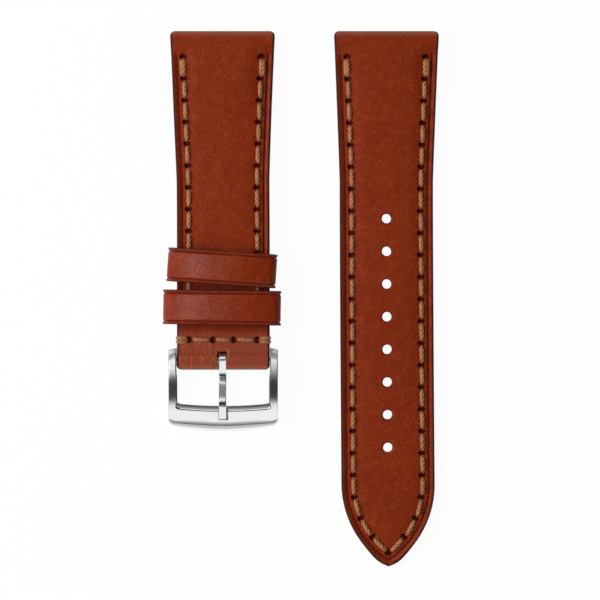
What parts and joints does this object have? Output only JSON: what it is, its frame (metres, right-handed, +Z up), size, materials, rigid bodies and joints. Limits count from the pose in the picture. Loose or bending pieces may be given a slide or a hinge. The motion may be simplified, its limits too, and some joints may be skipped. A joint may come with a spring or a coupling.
{
  "type": "watch strap",
  "caption": "Stitched leather watch strap in two halves, with a pin buckle on a spring bar, a fixed keeper, a sliding keeper and a row of adjustment holes.",
  "frame": {"origin": "middle of the two halves as they lie side by side, on the surface they lie on", "axes": "+Z up out of the strap's face, +Y along the strap from the tips to the lug ends, +X from the buckle half to the tail half"},
  "size_m": [0.0576, 0.1124, 0.0074],
  "materials": {
    "strap_leather": "smooth reddish brown, fine grain, satin",
    "lining_leather": "light tan, matt",
    "filler": "pale fibre board and padding, matt",
    "sewing_thread": "twisted waxed thread, golden brown",
    "brushed_steel": "fine brushed stainless steel",
    "bar_steel": "bright turned stainless steel"
  },
  "bodies": {
    "buckle_half": {"buckle_half_cover": "strap_leather", "buckle_half_filler": "filler", "buckle_half_lining": "lining_leather", "left_seam_thread": "sewing_thread", "right_seam_thread": "sewing_thread", "left_seam_under_thread": "sewing_thread", "right_seam_under_thread": "sewing_thread", "cross_seam_thread": "sewing_thread", "cross_seam_under_thread": "sewing_thread", "fixed_keeper": "strap_leather"},
    "free_keeper": {"free_keeper": "strap_leather"},
    "buckle_frame": {"buckle_frame": "brushed_steel"},
    "buckle_tongue": {"buckle_tongue": "brushed_steel"},
    "spring_bar": {"spring_bar_barrel": "bar_steel", "spring_bar_spring": "bar_steel"},
    "left_plunger": {"spring_bar_left_plunger": "bar_steel"},
    "right_plunger": {"spring_bar_right_plunger": "bar_steel"},
    "tail_half": {"tail_half_cover": "strap_leather", "tail_half_filler": "filler", "tail_half_lining": "lining_leather", "tail_seam_thread": "sewing_thread", "tail_seam_under_thread": "sewing_thread"}
  },
  "joints": [
    {"name": "frame_swing", "type": "hinge", "parent": "buckle_half", "child": "buckle_frame", "pos_m": [-0.01658, -0.01282, 0.0025], "axis": [-1, 0, 0], "range_deg": [-90, 20]},
    {"name": "tongue_lift", "type": "hinge", "parent": "buckle_frame", "child": "buckle_tongue", "pos_m": [-0.01658, -0.01282, 0.0025], "axis": [-1, 0, 0], "range_deg": [0, 80]},
    {"name": "bar_spin", "type": "hinge", "parent": "buckle_half", "child": "spring_bar", "pos_m": [-0.01658, -0.01282, 0.0025], "axis": [1, 0, 0], "continuous": true},
    {"name": "left_plunger_press", "type": "slide", "parent": "spring_bar", "child": "left_plunger", "axis": [1, 0, 0], "range_m": [0, 0.0011], "stiffness_N_per_m": 1500, "springref_m": -0.0005, "deforming": ["spring_bar_spring"]},
    {"name": "right_plunger_press", "type": "slide", "parent": "spring_bar", "child": "right_plunger", "axis": [-1, 0, 0], "range_m": [0, 0.0011], "stiffness_N_per_m": 1500, "springref_m": -0.0005, "deforming": ["spring_bar_spring"]},
    {"name": "keeper_slide", "type": "slide", "parent": "buckle_half", "child": "free_keeper", "axis": [0, 1, 0], "range_m": [-0.0005, 0.015]},
    {"name": "tail_swing", "type": "hinge", "parent": "buckle_half", "child": "tail_half", "pos_m": [0.01782, 0.0541, 0.0021], "axis": [-1, 0, 0], "range_deg": [0, 90]}
  ]
}
